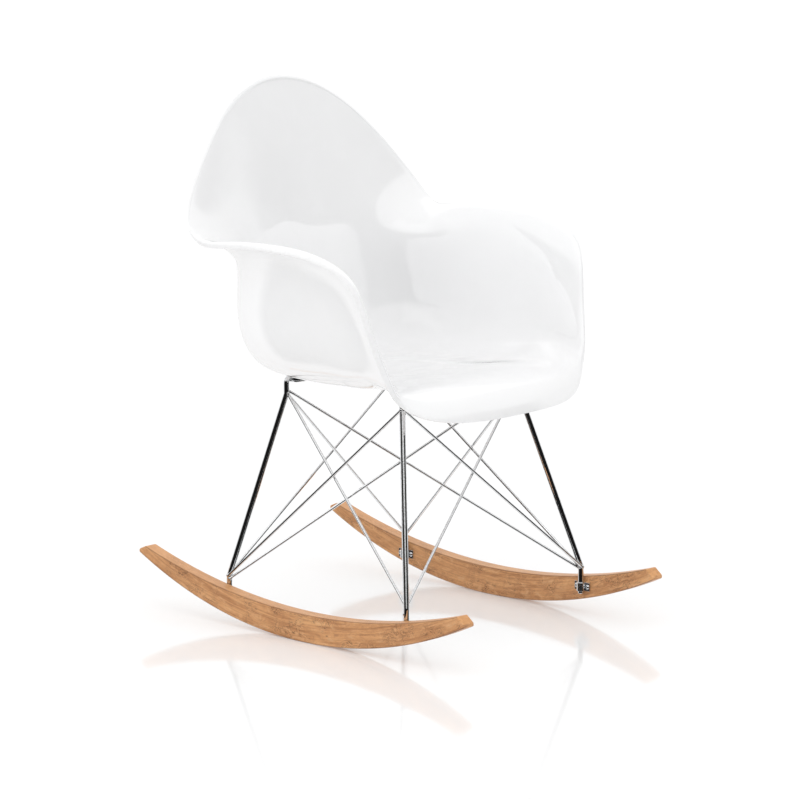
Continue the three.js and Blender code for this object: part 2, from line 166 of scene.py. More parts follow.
def shellFinish():
    finish = Finish("whitePlastic", IOR=1.5, Coat_Roughness=0.02, Coat_IOR=1.5)
    place = finish.place()
    cloud = finish.between(finish.noise(place, 4, 3), 0.35, 0.7)
    speck = finish.between(finish.noise(place, 900, 2), 0.72, 0.8)
    rim = finish.attribute("rim")
    colour = finish.blend(cloud * 0.6, (0.925, 0.925, 0.93), (0.905, 0.91, 0.915))
    colour = finish.blend(speck * 0.06, colour, (0.5, 0.5, 0.5))
    smudge = finish.between(finish.noise(place, 14, 5, 0.6, 0.6), 0.45, 0.75)
    rub = rim * finish.between(finish.noise(place, 160, 4), 0.4, 0.65)
    hair = finish.between(finish.noise(finish.place((30, 260, 60)), 3, 5, 0.7), 0.66, 0.74)
    colour = finish.blend(rub * 0.12, colour, (0.62, 0.61, 0.60))
    roughness = smudge * 0.03 + 0.05 + rub * 0.15 + hair * 0.03
    peel = finish.noise(place, 130, 2) * 0.3 + finish.noise(place, 26, 2) * 0.7 - hair * 0.04
    return finish.paint(Base_Color=colour, Roughness=roughness, Coat_Weight=0.8 - smudge * 0.3,
                        Normal=finish.bump(peel, 0.03, 0.001))


def chromeFinish(name, tint, roughness):
    finish = Finish(name, Metallic=1, Specular_Tint=(0.9, 0.92, 0.94))
    place = finish.place()
    weld = finish.attribute("weld")
    haze = finish.between(finish.noise(place, 35, 5, 0.6), 0.45, 0.75)
    mottle = finish.between(finish.noise(place, 420, 4), 0.42, 0.7)
    colour = finish.blend(haze * 0.25, tint, tuple(0.9 * c for c in tint))
    colour = finish.blend(weld * mottle * 0.55, colour, (0.32, 0.27, 0.22))
    scratch = finish.noise(finish.place((1, 1, 0.06)), 700, 2)
    grit = scratch * 0.08 + mottle * weld * 1.4
    return finish.paint(Base_Color=colour, Roughness=haze * 0.03 + roughness + weld * mottle * 0.2,
                        Normal=finish.bump(grit, 0.03, 0.0004))


def rubberFinish():
    finish = Finish("blackRubber", Specular_IOR_Level=0.35)
    place = finish.place()
    dust = finish.between(finish.noise(place, 60, 5, 0.65), 0.45, 0.7)
    grain = finish.noise(place, 900, 3)
    colour = finish.blend(dust * 0.5, (0.018, 0.018, 0.019), (0.05, 0.048, 0.045))
    return finish.paint(Base_Color=colour, Roughness=dust * 0.2 + 0.6,
                        Normal=finish.bump(grain, 0.35, 0.0003))


def woodFinish():
    # the grain attribute runs along, across the height and through the thickness
    finish = Finish("oiledOak", Coat_Roughness=0.28, Specular_IOR_Level=0.4)
    grain = finish.attribute("grain", "Vector")
    edge = finish.attribute("edge")
    warp = finish.noise(finish.place((6, 22, 16), grain), 1, 4, 0.55, 0.8)
    rings = finish.noise(finish.place((5, 95, 45), grain), 1.2, 7, 0.66, 1.4)
    streak = finish.noise(finish.place((14, 520, 300), grain), 1, 6, 0.62, 0.5)
    pores = finish.noise(finish.place((150, 1900, 1500), grain), 1, 3, 0.55)
    burl = finish.noise(finish.place((34, 70, 60), grain), 1, 6, 0.68, 2.2)
    fleck = finish.noise(finish.place((90, 260, 200), grain), 1, 4, 0.6, 1.0)
    band = finish.node("ShaderNodeValToRGB", {"stops": [
        (0.30, (0.30, 0.125, 0.046)), (0.43, (0.52, 0.24, 0.098)),
        (0.54, (0.70, 0.36, 0.158)), (0.68, (0.84, 0.49, 0.225))]}, Fac=rings * 0.6 + warp * 0.2 + burl * 0.2)
    colour = finish.blend(finish.between(streak, 0.5, 0.72) * 0.42, band, (0.27, 0.125, 0.06))
    colour = finish.blend(finish.between(burl, 0.54, 0.68) * 0.4, colour, (0.70, 0.45, 0.26))
    colour = finish.blend(finish.between(1 - burl, 0.54, 0.7) * 0.4, colour, (0.36, 0.17, 0.085))
    colour = finish.blend(finish.between(fleck, 0.58, 0.7) * 0.3, colour, (0.24, 0.11, 0.055))
    # thin crooked lines where the figure crosses its middle value, in patches
    offset = burl - 0.5
    crooked = 1 - finish.between(offset.maths("ABSOLUTE", offset), 0.004, 0.02)
    patch = finish.between(finish.noise(finish.place((16, 26, 22), grain), 1, 3), 0.44, 0.56)
    lines = crooked * patch * finish.between(fleck, 0.3, 0.45)
    colour = finish.blend(lines * 0.9, colour, (0.10, 0.042, 0.02))
    pore = finish.between(pores, 0.58, 0.7)
    colour = finish.blend(pore * 0.4, colour, (0.19, 0.09, 0.045))
    knot = finish.node("ShaderNodeTexVoronoi", Vector=finish.place((30, 80, 60), grain), Scale=1)
    spot = (1 - finish.between(knot, 0.03, 0.12)) * finish.between(warp, 0.5, 0.62)
    colour = finish.blend(spot * 0.7, colour, (0.13, 0.06, 0.03))
    # painted light: faces turned upward are painted a brighter orange, a painted highlight for light falling
    # on the top of the rocker
    normal = finish.node("ShaderNodeNewGeometry", out="Normal")
    upwardForPaintedTopLight = finish.node("ShaderNodeSeparateXYZ", out="Z", Vector=normal)
    colour = finish.blend(finish.between(upwardForPaintedTopLight, 0.35, 0.85) * 0.55, colour, (0.74, 0.34, 0.10))
    colour = finish.blend(finish.between(edge, 0.1, 0.45) * 0.55, colour, (0.17, 0.08, 0.04))
    height = rings * 0.5 + streak * 0.5 - pore * 0.9 - lines * 1.2 - spot
    return finish.paint(Base_Color=colour, Roughness=pore * 0.15 + 0.44 + edge * 0.1,
                        Coat_Weight=0.25 - pore * 0.2, Normal=finish.bump(height, 0.25, 0.0006))


finishes = {
    "shell": shellFinish(),
    "rod": chromeFinish("rodChrome", (0.86, 0.87, 0.88), 0.02),
    "plate": chromeFinish("plateChrome", (0.88, 0.89, 0.90), 0.24),
    "screw": chromeFinish("screwChrome", (0.84, 0.85, 0.86), 0.20),
    "rubber": rubberFinish(),
    "rocker": woodFinish(),
}
for row in frame["record"]["subparts"]:
    cadMesh = frame["nodes"][row["node"]].data
    cadMesh.materials.clear()
    cadMesh.materials.append(finishes[row["material_slot"]])
print("finishes made:", len(finishes))


def loopEdges(loop, closed=True):
    pairs = zip(loop, loop[1:] + loop[:1]) if closed else zip(loop, loop[1:])
    return [next(e for e in a.link_edges if b in e.verts) for a, b in pairs]


def ringAt(bm, place, radius, segments):
    # a flat ring of verts round the Z axis of a place
    return bmesh.ops.create_circle(bm, segments=segments, radius=radius, matrix=place)["verts"]


def grow(bm, loop, closed=True):
    # extrudes a chain of edges and gives its new verts in the same order
    result = bmesh.ops.extrude_edge_only(bm, edges=loopEdges(loop, closed))
    fresh = {g for g in result["geom"] if isinstance(g, bmesh.types.BMVert)}
    return [next(e.other_vert(v) for e in v.link_edges if e.other_vert(v) in fresh) for v in loop]


def chain(bm, points):
    verts = [bm.verts.new(p) for p in points]
    for pair in zip(verts, verts[1:]):
        bm.edges.new(pair)
    return verts


def sweepArc(bm, vert, centre, axis, angle, steps):
    # a chain of verts swept round a centre from one vert
    verts = [vert]
    for _ in range(steps):
        fresh = newVerts(bmesh.ops.extrude_vert_indiv(bm, verts=[verts[-1]]))
        bmesh.ops.rotate(bm, verts=fresh, cent=centre, matrix=Matrix.Rotation(angle / steps, 3, axis))
        verts += fresh
    return verts


def newVerts(result):
    return result["verts"]


def turned(bm, profile, place, segments=48):
    # spins radius and height pairs round the Z axis of a place
    verts = chain(bm, [place @ Vector((radius, 0, height)) for radius, height in profile])
    bmesh.ops.spin(bm, geom=verts + loopEdges(verts, False), cent=place.translation,
                   axis=place.to_3x3() @ Vector((0, 0, 1)), angle=2 * math.pi, steps=segments,
                   use_merge=True, use_duplicate=False)


def soften(bm, edges, width, segments=3):
    bmesh.ops.bevel(bm, geom=edges, affect="EDGES", offset=width, offset_type="OFFSET",
                    segments=segments, profile=0.5, material=-1, clamp_overlap=True)


def sharpEdges(bm, least=35):
    return [e for e in bm.edges if len(e.link_faces) == 2 and e.calc_face_angle() > math.radians(least)]


def clean(bm):
    bmesh.ops.remove_doubles(bm, verts=bm.verts, dist=1e-6)
    bmesh.ops.recalc_face_normals(bm, faces=bm.faces)


def finishPiece(name, bm, slot, *replaced, levelFaces=False):
    clean(bm)
    mesh = bpy.data.meshes.new(name)
    bm.to_mesh(mesh)
    bm.free()
    mesh.shade_smooth()
    mesh.materials.append(finishes[slot])
    piece = bpy.data.objects.new(name, mesh)
    bpy.context.scene.collection.objects.link(piece)
    if levelFaces:
        piece.modifiers.new("levelFaces", "WEIGHTED_NORMAL").keep_sharp = True
    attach(piece, "root")
    if replaced:
        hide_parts(*replaced)
    return piece


def boxMiddle(node):
    low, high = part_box(node)
    return (low + high) / 2


def storeValues(piece, name, values):
    attribute = piece.data.attributes.new(name, "FLOAT", "POINT")
    attribute.data.foreach_set("value", values)


# Half of the shell, from the middle of the front lip, up the left arm and to the
# middle of the top of the back. Each station crosses it from the flat of the seat,
# up the wall to the crest of the edge and the rolled lip, in millimetres from the
# seat.
shell = {
    "seatHeight": 0.405,
    "middle": (0, -10, -8),
    "lipShare": 0.8,  # how much of the last stretch the lip keeps
    "wall": 0.005,
    "rimRound": 0.0016,
    "smoothness": 3,
    "stations": [
        [[0, -165, 1], [0, -211, -3], [0, -233, -12], [0, -247, -25], [0, -254, -38], [0, -257, -50]],
        [[60, -160, 1], [83, -205, -3], [94, -226, -11], [100, -238, -23], [103, -244, -37],
         [105, -247, -49]],
        [[107, -143, 0], [142, -182, -2], [158, -200, -7], [167, -210, -15], [172, -216, -26],
         [176, -219, -37]],
        [[136, -119, -2], [175, -150, 3], [191, -168, 5], [200, -182, 3], [205, -194, -3], [211, -197, -14]],
        [[148, -95, -4], [194, -121, 13], [210, -141, 24], [216, -164, 29], [221, -187, 28], [231, -184, 19]],
        [[154, -65, -6], [205, -89, 18], [219, -114, 52], [225, -143, 82], [236, -170, 90], [248, -165, 87]],
        [[156, -35, -7], [210, -58, 23], [226, -80, 80], [232, -112, 134], [250, -149, 163],
         [263, -142, 158]],
        [[156, -5, -8], [212, -22, 25], [229, -42, 96], [235, -72, 160], [256, -103, 198], [269, -100, 189]],
        [[154, 25, -8], [213, 18, 24], [228, 10, 100], [233, -6, 168], [251, -32, 210], [265, -32, 199]],
        [[148, 55, -8], [210, 61, 22], [226, 63, 98], [229, 56, 168], [248, 44, 211], [262, 44, 200]],
        [[138, 82, -8], [199, 103, 20], [216, 113, 98], [218, 112, 168], [248, 112, 207], [262, 113, 196]],
        [[122, 104, -8], [178, 141, 21], [195, 153, 100], [200, 154, 172], [254, 164, 205], [267, 167, 195]],
        [[102, 118, -8], [144, 164, 25], [161, 180, 108], [176, 186, 188], [252, 196, 228], [262, 203, 223]],
        [[76, 128, -8], [104, 176, 27], [119, 196, 119], [148, 205, 215], [222, 216, 274], [230, 225, 273]],
        [[50, 133, -8], [67, 180, 30], [77, 202, 130], [102, 219, 245], [160, 236, 340], [165, 246, 341]],
        [[25, 136, -8], [33, 183, 31], [38, 207, 136], [51, 226, 262], [86, 255, 390], [88, 265, 392]],
        [[0, 137, -8], [0, 184, 32], [0, 209, 138], [0, 229, 267], [0, 261, 409], [0, 271, 411]],
    ],
}


def cageThrough(points, closed):
    # the corners whose smoothed line runs through the points
    cage = [p.copy() for p in points]
    last = len(points) - 1
    for _ in range(24):
        for i, point in enumerate(points):
            before = cage[i - 1] if i > 0 or closed else cage[0] * 2 - cage[1]
            after = cage[(i + 1) % len(points)] if i < last or closed else cage[last] * 2 - cage[last - 1]
            cage[i] += point - (cage[i] * 4 + before + after) / 6
    return cage


def shellCage():
    half = [[Vector(p) for p in station] for station in shell["stations"]]
    mirrored = [[Vector((-p.x, p.y, p.z)) for p in station] for station in half[-2:0:-1]]
    middle = Vector(shell["middle"])
    stations = []
    for station in half + mirrored:
        lip = station[-2].lerp(station[-1], shell["lipShare"])
        stations.append([middle, middle.lerp(station[0], 0.5)] + station[:-1] + [lip])
    rings = [cageThrough([station[i] for station in stations], True) for i in range(len(stations[0]))]
    across = [cageThrough([ring[i] for ring in rings], False) for i in range(len(stations))]
    raised = Vector((0, 0, shell["seatHeight"]))
    return [[station[i] / 1000 + raised for station in across] for i in range(1, len(rings))]


def makeShell():
    rings = shellCage()
    bm = bmesh.new()
    rim = bm.verts.layers.float.new("rim")
    loop = bmesh.ops.create_circle(bm, segments=len(rings[0]), radius=0.05)["verts"]
    inner = list(loop)
    for ring in rings:
        if ring is not rings[0]:
            loop = grow(bm, loop)
        for v, p in zip(loop, ring):
            v.co = p
    for v in loop:
        v[rim] = 1
    quarter = len(inner) // 4
    innerEdges = loopEdges(inner)
    rails = innerEdges[-quarter // 2:] + innerEdges[:quarter // 2]
    rails += innerEdges[2 * quarter - quarter // 2:2 * quarter + quarter // 2]
    bmesh.ops.grid_fill(bm, edges=rails)
    piece = finishPiece("seatShell", bm, "shell", "seat_shell")
    up = sum((f.normal.z for f in piece.data.polygons if f.center.z < shell["seatHeight"] + 0.01))
    if up < 0:
        piece.data.flip_normals()
    smooth = piece.modifiers.new("smooth", "SUBSURF")
    smooth.levels = smooth.render_levels = shell["smoothness"]
    wall = piece.modifiers.new("wall", "SOLIDIFY")
    wall.thickness = shell["wall"]
    wall.offset = -1
    wall.use_even_offset = True
    rimRound = piece.modifiers.new("rimRound", "BEVEL")
    rimRound.width = shell["rimRound"]
    rimRound.segments = 3
    rimRound.limit_method = "ANGLE"
    rimRound.angle_limit = math.radians(50)
    return piece


makeShell()
print("seat shell made")

boss = {"radius": 0.020, "sunk": 0.0045, "flare": 0.0035, "round": 0.0006, "gap": 0.0003}


def makeBosses():
    bm = bmesh.new()
    for corner in corners:
        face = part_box("rubber_mount_" + corner)[1].z + boss["gap"]
        middle = boxMiddle("rubber_mount_" + corner)
        place = Matrix.Translation((middle.x, middle.y, face))
        radius = boss["radius"]
        profile = [(0.0033, boss["sunk"]), (0.0033, 0), (radius - boss["round"], 0), (radius, boss["round"]),
                   (radius + boss["flare"] * 0.25, boss["sunk"] * 0.45),
                   (radius + boss["flare"], boss["sunk"])]
        turned(bm, profile, place, 64)
    return finishPiece("shellBosses", bm, "shell", "seat_shell")


makeBosses()
print("bosses made")

rubberMount = {"round": 0.0012, "waist": 0.0012}
mountPlate = {"corner": 0.006, "edge": 0.0005}
shellScrew = {"head": 0.006, "rise": 0.0032, "socket": 0.0022, "depth": 0.0022, "shank": 0.003}
saddleScrew = {"head": 0.0037, "rise": 0.0024, "socket": 0.00125, "depth": 0.0013, "shank": 0.0018}


def makeRubberMount(corner):
    low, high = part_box("rubber_mount_" + corner)
    middle = (low + high) / 2
    radius = (high.x - low.x) / 2
    tall = high.z - low.z
    bore = shellScrew["shank"] + 0.0003
    waist = radius - rubberMount["waist"]
    profile = [(bore, 0), (radius, 0), (radius, tall * 0.3), (waist, tall * 0.38), (waist, tall * 0.62),
               (radius, tall * 0.7), (radius, tall), (bore, tall), (bore, 0)]
    bm = bmesh.new()
    turned(bm, profile, Matrix.Translation((middle.x, middle.y, low.z)), 64)
    clean(bm)
    soften(bm, sharpEdges(bm), rubberMount["round"] / 2)
    return finishPiece("rubberMount_" + corner, bm, "rubber", "rubber_mount_" + corner)


def makeMountPlate(corner):
    low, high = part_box("mount_plate_" + corner)
    bm = bmesh.new()
    size = high - low
    place = Matrix.Translation((low + high) / 2) @ Matrix.Diagonal((*size, 1))
    bmesh.ops.create_cube(bm, size=1, matrix=place)
    upright = [e for e in bm.edges if abs(e.verts[0].co.z - e.verts[1].co.z) > size.z / 2]
    soften(bm, upright, mountPlate["corner"], 8)
    soften(bm, sharpEdges(bm, 60), mountPlate["edge"])
    return finishPiece("mountPlate_" + corner, bm, "plate", "mount_plate_" + corner, levelFaces=True)


def makeScrew(name, sizes, place, length, node):
    # a domed head with a hexagon socket, its seat at the place and its head along +Z
    bm = bmesh.new()
    head, rise, socket, depth = sizes["head"], sizes["rise"], sizes["socket"], sizes["depth"]
    mouth = socket * 1.35
    ring = ringAt(bm, place @ Matrix.Translation((0, 0, rise)), mouth, 48)
    for drop in (0, depth):
        ring = grow(bm, ring)
        for v in ring:
            flat = place.inverted() @ v.co
            turn = math.radians(math.degrees(math.atan2(flat.y, flat.x)) % 60 - 30)
            reach = socket / math.cos(turn) / math.hypot(flat.x, flat.y)
            v.co = place @ Vector((flat.x * reach, flat.y * reach, rise - drop))
    bmesh.ops.contextual_create(bm, geom=loopEdges(ring))
    dome = [(mouth, rise), (head * 0.62, rise * 0.9), (head * 0.86, rise * 0.6), (head, rise * 0.18),
            (head, 0)]
    shank = [(sizes["shank"], 0), (sizes["shank"], -length + sizes["shank"]), (0, -length)]
    turned(bm, dome + shank, place, 48)
    return finishPiece(name, bm, "screw", node)


for corner in corners:
    makeRubberMount(corner)
    makeMountPlate(corner)
    low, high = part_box("shell_screw_" + corner)
    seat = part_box("mount_plate_" + corner)[0].z - 0.0003
    place = Matrix.Translation(((low.x + high.x) / 2, (low.y + high.y) / 2, seat))
    place = place @ Matrix.Rotation(math.pi, 4, "X")
    makeScrew("shellScrew_" + corner, shellScrew, place, high.z - seat, "shell_screw_" + corner)
print("mounts made")

leg = {
    "radius": 0.0045, "bend": 0.009, "sides": 28, "tipRound": 0.0012,
    "topAcross": 0.1315,
    "topHeight": {"front": 0.366, "rear": 0.359},
    "footHeight": {"front": 0.077, "rear": 0.072},
}
brace = {"radius": 0.00225, "sides": 18, "apart": 0.00255, "flare": 1.45, "flareLength": 0.006,
         "bead": 0.0033, "topLift": 0.006, "footDrop": 0.006, "footTwist": 0.0012}
weldReach = 0.012  # how far the heat of a weld marks the chrome


def legPoints(corner):
    # from the inner end, over the two upper corners, to the foot and the tip
    end, side = corner.split("_")
    low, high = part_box("leg_rod_" + corner)
    radius = leg["radius"]
    foot = (high.x - radius) if side == "left" else (low.x + radius)
    inner = low.x if side == "left" else high.x
    topY, footY = (high.y - radius, low.y + radius) if end == "front" else (low.y + radius, high.y - radius)
    topX = sides[side] * leg["topAcross"]
    elbow = high.z - radius
    return [Vector((inner, topY, elbow)), Vector((topX, topY, elbow)),
            Vector((topX, topY, leg["topHeight"][end])), Vector((foot, footY, leg["footHeight"][end])),
            Vector((foot, footY, low.z))]


def facing(point, along):
    # a place at a point with its Z axis along a direction
    return Matrix.Translation(point) @ Vector((0, 0, 1)).rotation_difference(along).to_matrix().to_4x4()


def bentRod(bm, points, radius, bend, segments):
    # a round rod with straight runs and round bends, open at both ends
    first = ringAt(bm, facing(points[0], points[1] - points[0]), radius, segments)
    ring, at = first, points[0]
    for i, corner in enumerate(points[1:-1], 1):
        along = (corner - points[i - 1]).normalized()
        ahead = (points[i + 1] - corner).normalized()
        turn = along.angle(ahead)
        reach = bend * math.tan(turn / 2)
        ring = grow(bm, ring)
        bendStart = corner - along * reach
        bmesh.ops.translate(bm, verts=ring, vec=bendStart - at)
        axis = along.cross(ahead).normalized()
        centre = bendStart + axis.cross(along) * bend
        steps = max(3, round(math.degrees(turn) / 7))
        for _ in range(steps):
            ring = grow(bm, ring)
            bmesh.ops.rotate(bm, verts=ring, cent=centre, matrix=Matrix.Rotation(turn / steps, 3, axis))
        at = corner + ahead * reach
    ring = grow(bm, ring)
    bmesh.ops.translate(bm, verts=ring, vec=points[-1] - at)
    return first, ring


def makeLeg(corner, joints):
    bm = bmesh.new()
    for loop in bentRod(bm, legPoints(corner), leg["radius"], leg["bend"], leg["sides"]):
        bmesh.ops.contextual_create(bm, geom=loopEdges(loop))
        soften(bm, loopEdges(loop), leg["tipRound"], 4)
    piece = finishPiece("legRod_" + corner, bm, "rod", "leg_rod_" + corner)
    storeValues(piece, "weld", [weldMark(v.co, joints) for v in piece.data.vertices])
    return piece


def weldMark(point, joints):
    nearest = min((point - joint).length for joint in joints)
    return max(0, 1 - nearest / weldReach)


def makeBrace(name, start, end, node):
    # a thin rod that swells into its weld beads
    bm = bmesh.new()
    along = (end - start).normalized()
    length = (end - start).length
    radius, reach = brace["radius"], brace["flareLength"]
    swell = [(0, brace["flare"]), (reach * 0.35, 1.2), (reach * 0.7, 1.05), (reach, 1)]
    stages = swell + [(length - far, wide) for far, wide in reversed(swell)]
    ring = ringAt(bm, facing(start, along), radius * swell[0][1], brace["sides"])
    bmesh.ops.contextual_create(bm, geom=loopEdges(ring))
    for (before, wide), (here, nextWide) in zip(stages, stages[1:]):
        ring = grow(bm, ring)
        centre = start + along * here
        bmesh.ops.translate(bm, verts=ring, vec=along * (here - before))
        for v in ring:
            v.co = centre + (v.co - centre) * (nextWide / wide)
    bmesh.ops.contextual_create(bm, geom=loopEdges(ring))
    for joint in (start, end):
        bmesh.ops.create_icosphere(bm, subdivisions=3, radius=brace["bead"], matrix=Matrix.Translation(joint))
    piece = finishPiece(name, bm, "rod", node)
    storeValues(piece, "weld", [weldMark(v.co, (start, end)) for v in piece.data.vertices])
    return piece


legLines = {corner: legPoints(corner) for corner in corners}
tops = {corner: line[2] for corner, line in legLines.items()}
feet = {corner: line[3] for corner, line in legLines.items()}
braces = []  # node, from, to, sideways, lift at the top, lift at the foot


def addBrace(node, high, low, sideways, topLift=0, footLift=0):
    start = tops[high] + sideways + Vector((0, 0, topLift))
    end = feet[low] + sideways + Vector((0, 0, footLift))
    braces.append((node, start, end))


apart = brace["apart"]
for side, sx in sides.items():
    aside = Vector((sx * apart, 0, 0))
    addBrace("side_brace_" + side + "_from_front", "front_" + side, "rear_" + side, aside)
    addBrace("side_brace_" + side + "_from_rear", "rear_" + side, "front_" + side, -aside)
for end in ends:
    aside = Vector((0, apart, 0))
    addBrace(end + "_brace_from_left", end + "_left", end + "_right", aside)
    addBrace(end + "_brace_from_right", end + "_right", end + "_left", -aside)
for high, low, twist in (("front_left", "rear_right", 1), ("rear_right", "front_left", 1),
                         ("front_right", "rear_left", -1), ("rear_left", "front_right", -1)):
    level = (feet[low] - tops[high]) * Vector((1, 1, 0))
    aside = Vector((-level.y, level.x, 0)).normalized() * twist * apart
    addBrace("diagonal_brace_from_" + high, high, low, aside, twist * brace["topLift"],
             twist * brace["footTwist"] - brace["footDrop"])

joints = [point for _, start, end in braces for point in (start, end)]
for corner in corners:
    makeLeg(corner, joints)
for node, start, end in braces:
    words = node.split("_")
    makeBrace(words[0] + "".join(word.capitalize() for word in words[1:]), start, end, node)
print("rod base made:", len(braces), "braces")

rocker = {
    "thickness": 0.024, "height": 0.0445, "runRadius": 0.770, "tipHeight": 0.0183, "contactY": -0.012,
    "endHeight": 0.005, "endSlant": 0.014, "endLean": 0.0005, "edgeRound": 0.002, "steps": 72,
}


def runPoint(y):
    radius = rocker["runRadius"]
    return Vector((0, y, radius - math.sqrt(radius ** 2 - (y - rocker["contactY"]) ** 2)))


def topRadius():
    # the top edge is an arc from the lowest point to the tip at the rear
    end = runPoint(frame["nodes"]["rocker_left"].dimensions.y / 2 - rocker["endSlant"])
    run, rise = end.y - rocker["contactY"], end.z + rocker["tipHeight"] - rocker["height"]
    return (run ** 2 + rise ** 2) / (2 * rise)


def topPoint(y):
    radius = topRadius()
    drop = math.sqrt(radius ** 2 - (y - rocker["contactY"]) ** 2)
    return Vector((0, y, rocker["height"] + radius - drop))


def arcBetween(bm, start, end, centre, steps):
    # verts along an arc in the plane of the rocker
    angle = (end - centre).angle(start - centre)
    return sweepArc(bm, bm.verts.new(start), centre, (1, 0, 0), angle, steps)


def makeRocker(side):
    low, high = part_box("rocker_" + side)
    rockerEnd = high.y
    slant, lean, steps = rocker["endSlant"], rocker["endLean"], rocker["steps"]
    bm = bmesh.new()
    runCentre = Vector((0, rocker["contactY"], rocker["runRadius"]))
    topCentre = Vector((0, rocker["contactY"], rocker["height"] + topRadius()))
    run = arcBetween(bm, runPoint(-rockerEnd), runPoint(rockerEnd), runCentre, steps + 2)
    top = arcBetween(bm, topPoint(slant - rockerEnd), topPoint(rockerEnd - slant), topCentre, steps)
    tips = [bm.verts.new(runPoint(y) + Vector((0, -math.copysign(lean, y), rocker["endHeight"])))
            for y in (-rockerEnd, rockerEnd)]
    bm.edges.new((tips[0], top[0]))
    bm.edges.new((top[-1], tips[1]))
    top = [tips[0]] + top + [tips[1]]
    bmesh.ops.bridge_loops(bm, edges=loopEdges(run, False) + loopEdges(top, False))
    faces = list(bm.faces)
    bmesh.ops.translate(bm, verts=bm.verts, vec=(low.x, 0, 0))
    result = bmesh.ops.extrude_face_region(bm, geom=faces)
    slab = [g for g in result["geom"] if isinstance(g, bmesh.types.BMVert)]
    bmesh.ops.translate(bm, verts=slab, vec=(high.x - low.x, 0, 0))
    clean(bm)
    soften(bm, sharpEdges(bm), rocker["edgeRound"], 4)
    piece = finishPiece("rocker" + side.capitalize(), bm, "rocker", "rocker_" + side, levelFaces=True)
    markGrain(piece, (low.x + high.x) / 2, sides[side])
    return piece


def markGrain(piece, middleX, sx):
    # the grain follows the bend; the edge mark is strongest on the rounded edges
    half, soft = rocker["thickness"] / 2, rocker["edgeRound"]
    radius, overTop = rocker["runRadius"], topRadius()
    grain = piece.data.attributes.new("grain", "FLOAT_VECTOR", "POINT")
    edgeMarks = []
    for v in piece.data.vertices:
        y, z = v.co.y - rocker["contactY"], v.co.z
        turn = math.atan2(y, radius - z)
        depth = radius - math.hypot(y, radius - z)
        grain.data[v.index].vector = (turn * radius + sx * 2.3, depth, v.co.x - middleX + sx * 0.4)
        topDrop = math.hypot(y, rocker["height"] + overTop - z) - overTop
        nearSide = max(0, 1 - (half - abs(v.co.x - middleX)) / soft)
        nearFace = max(0, 1 - min(abs(depth), abs(topDrop)) / soft)
        edgeMarks.append(nearSide * nearFace)
    storeValues(piece, "edge", edgeMarks)


for side in sides:
    makeRocker(side)
print("rockers made")

saddle = {"inner": 0.0048, "thickness": 0.002, "edge": 0.00045}


def makeSaddle(corner):
    # a strap bent round the foot of a leg, with an ear on each side
    node = "rod_saddle_" + corner
    low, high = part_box(node)
    sx = cornerOf(corner)[1]
    middle = (low + high) / 2
    foot = high.x if sx > 0 else low.x
    inner, thick = saddle["inner"] + saddle["thickness"], saddle["thickness"]
    axis = saddle["inner"]
    half = (high.y - low.y) / 2
    bm = bmesh.new()
    # drawn with x along the rocker and y away from its face, on the outside of the strap
    left = chain(bm, [Vector((-half, thick, 0)), Vector((-inner, thick, 0)), Vector((-inner, axis, 0))])
    arc = sweepArc(bm, left[-1], Vector((0, axis, 0)), (0, 0, -1), math.pi, 16)
    right = chain(bm, [Vector((inner, axis, 0)), Vector((inner, thick, 0)), Vector((half, thick, 0))])
    bmesh.ops.pointmerge(bm, verts=[arc[-1], right[0]], merge_co=Vector((inner, axis, 0)))
    bend = [v for v in bm.verts if (v.co - Vector((inner, axis, 0))).length < 1e-6]
    line = left[:-1] + arc[:-1] + bend + right[1:]
    bmesh.ops.translate(bm, verts=bm.verts, vec=(0, 0, -(high.z - low.z) / 2))
    raised = grow(bm, line, False)
    bmesh.ops.translate(bm, verts=raised, vec=(0, 0, high.z - low.z))
    clean(bm)
    outward = sum(f.normal.y for f in bm.faces)
    bmesh.ops.solidify(bm, geom=list(bm.faces), thickness=thick if outward > 0 else -thick)
    clean(bm)
    soften(bm, sharpEdges(bm, 50), saddle["edge"], 2)
    turn = Matrix.Rotation(sx * math.pi / 2, 4, "Z")
    place = Matrix.Translation((foot, middle.y, middle.z)) @ turn
    bmesh.ops.transform(bm, verts=bm.verts, matrix=place)
    return finishPiece("rodSaddle_" + corner, bm, "plate", node, levelFaces=True)


for corner in corners:
    makeSaddle(corner)
    for end in ("fore", "aft"):
        node = "saddle_screw_" + corner + "_" + end
        low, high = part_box(node)
        sx = cornerOf(corner)[1]
        saddleLow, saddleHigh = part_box("rod_saddle_" + corner)
        seat = (saddleHigh.x if sx > 0 else saddleLow.x) - sx * (saddle["thickness"] + 0.0001)
        place = Matrix.Translation((seat, (low.y + high.y) / 2, (low.z + high.z) / 2))
        place = place @ Matrix.Rotation(-sx * math.pi / 2, 4, "Y")
        makeScrew("saddleScrew_" + corner + "_" + end, saddleScrew, place, 0.016, node)
print("saddles made")

studio = {
    "azimuth": -47.17, "elevation": 11.128, "distance": 8.5684, "target": (0, -0.00246, 0.3455),
    "lens": 247.5, "soft": 0.98,
}


def directionFrom(azimuth, elevation):
    a, e = math.radians(azimuth), math.radians(elevation)
    return Vector((math.sin(a) * math.cos(e), -math.cos(a) * math.cos(e), math.sin(e)))


def makeFloor():
    bm = bmesh.new()
    bmesh.ops.create_circle(bm, cap_ends=True, segments=96, radius=30)
    mesh = bpy.data.meshes.new("studioFloor")
    bm.to_mesh(mesh)
    bm.free()
    floor = bpy.data.objects.new("studioFloor", mesh)
    bpy.context.scene.collection.objects.link(floor)
    finish = Finish("paleFloor", IOR=1.5, Roughness=0.09, Emission_Strength=0.16)
    cloud = finish.noise(finish.place(), 1.5, 3)
    pale = finish.blend(cloud * 0.3, (0.86, 0.86, 0.86), (0.84, 0.84, 0.84))
    floor.data.materials.append(finish.paint(Base_Color=pale, Emission_Color=pale))
    floor.visible_glossy = False


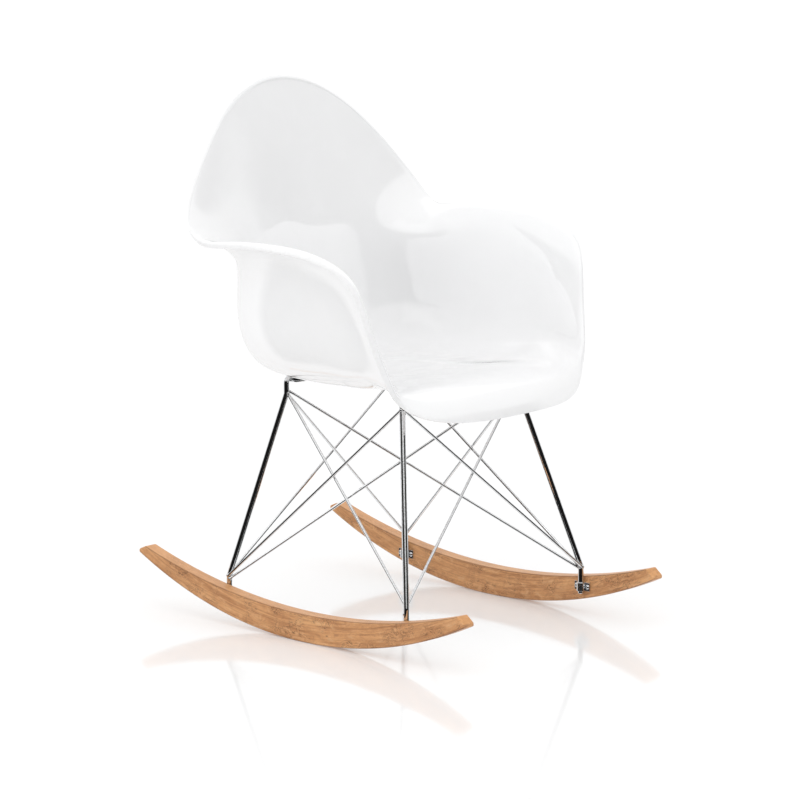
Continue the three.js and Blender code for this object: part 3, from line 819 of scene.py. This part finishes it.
def makeWorld():
    # white to the camera and for soft light, with a dark low band for reflections
    world = bpy.data.worlds.new("studio")
    bpy.context.scene.world = world
    world.use_nodes = True
    tree = world.node_tree

    def made(kind, out, **values):
        node = tree.nodes.new(kind)
        for socket, value in values.items():
            connect(value, node.inputs[socket.replace("_", " ")])
        return Wire(tree, node.outputs[out])

    def ramp(value, low, high):
        return made("ShaderNodeMapRange", 0, Value=value, From_Min=low, From_Max=high)

    look = made("ShaderNodeTexCoord", "Generated")
    turned = made("ShaderNodeMapping", 0, Vector=look, Rotation=(0, 0, math.radians(-studio["azimuth"])))
    away = made("ShaderNodeSeparateXYZ", "Y", Vector=turned)
    across = made("ShaderNodeSeparateXYZ", "X", Vector=turned)
    height = made("ShaderNodeSeparateXYZ", "Z", Vector=turned)
    behindUs = 1 - ramp(away, 0.15, 0.3)
    low = (1 - ramp(height, 0.34, 0.40)) * ramp(height, -0.75, -0.65)
    dark = behindUs * low
    softBox = ramp(height, 0.45, 0.5) * (1 - ramp(height, 0.85, 0.9)) * ramp(across, -0.6, -0.5)
    softBox = softBox * (1 - ramp(across, 0.3, 0.4))
    reflected = 0.95 - dark * 0.94 + softBox * 0.5
    glossy = made("ShaderNodeLightPath", "Is Glossy Ray")
    camera = made("ShaderNodeLightPath", "Is Camera Ray")
    strength = camera * 1.05 + (1 - camera) * (reflected * glossy + (1 - glossy) * studio["soft"])
    strength.feed(tree.nodes["Background"].inputs["Strength"])
    tree.nodes["Background"].inputs["Color"].default_value = (1, 1, 1, 1)


def addLight(name, azimuth, elevation, distance, size, power):
    lamp = bpy.data.lights.new(name, "AREA")
    lamp.shape = "RECTANGLE"
    lamp.size, lamp.size_y = size
    lamp.energy = power
    light = bpy.data.objects.new(name, lamp)
    bpy.context.scene.collection.objects.link(light)
    away = directionFrom(azimuth, elevation)
    target = Vector(studio["target"])
    light.location = target + away * distance
    light.rotation_euler = away.to_track_quat("Z", "Y").to_euler()
    light.visible_glossy = False


def makeCamera():
    lens = bpy.data.cameras.new("view")
    lens.lens = studio["lens"]
    lens.sensor_width = 36
    lens.clip_end = 200
    camera = bpy.data.objects.new("view", lens)
    bpy.context.scene.collection.objects.link(camera)
    away = directionFrom(studio["azimuth"], studio["elevation"])
    camera.location = Vector(studio["target"]) + away * studio["distance"]
    camera.rotation_euler = away.to_track_quat("Z", "Y").to_euler()
    bpy.context.scene.camera = camera


makeFloor()
makeWorld()
addLight("softTop", -60, 70, 2.6, (2.4, 2.4), 9)
addLight("softSide", -95, 22, 2.6, (1.8, 1.8), 5)
makeCamera()
bpy.context.scene.view_settings.view_transform = "Standard"
print("studio made")
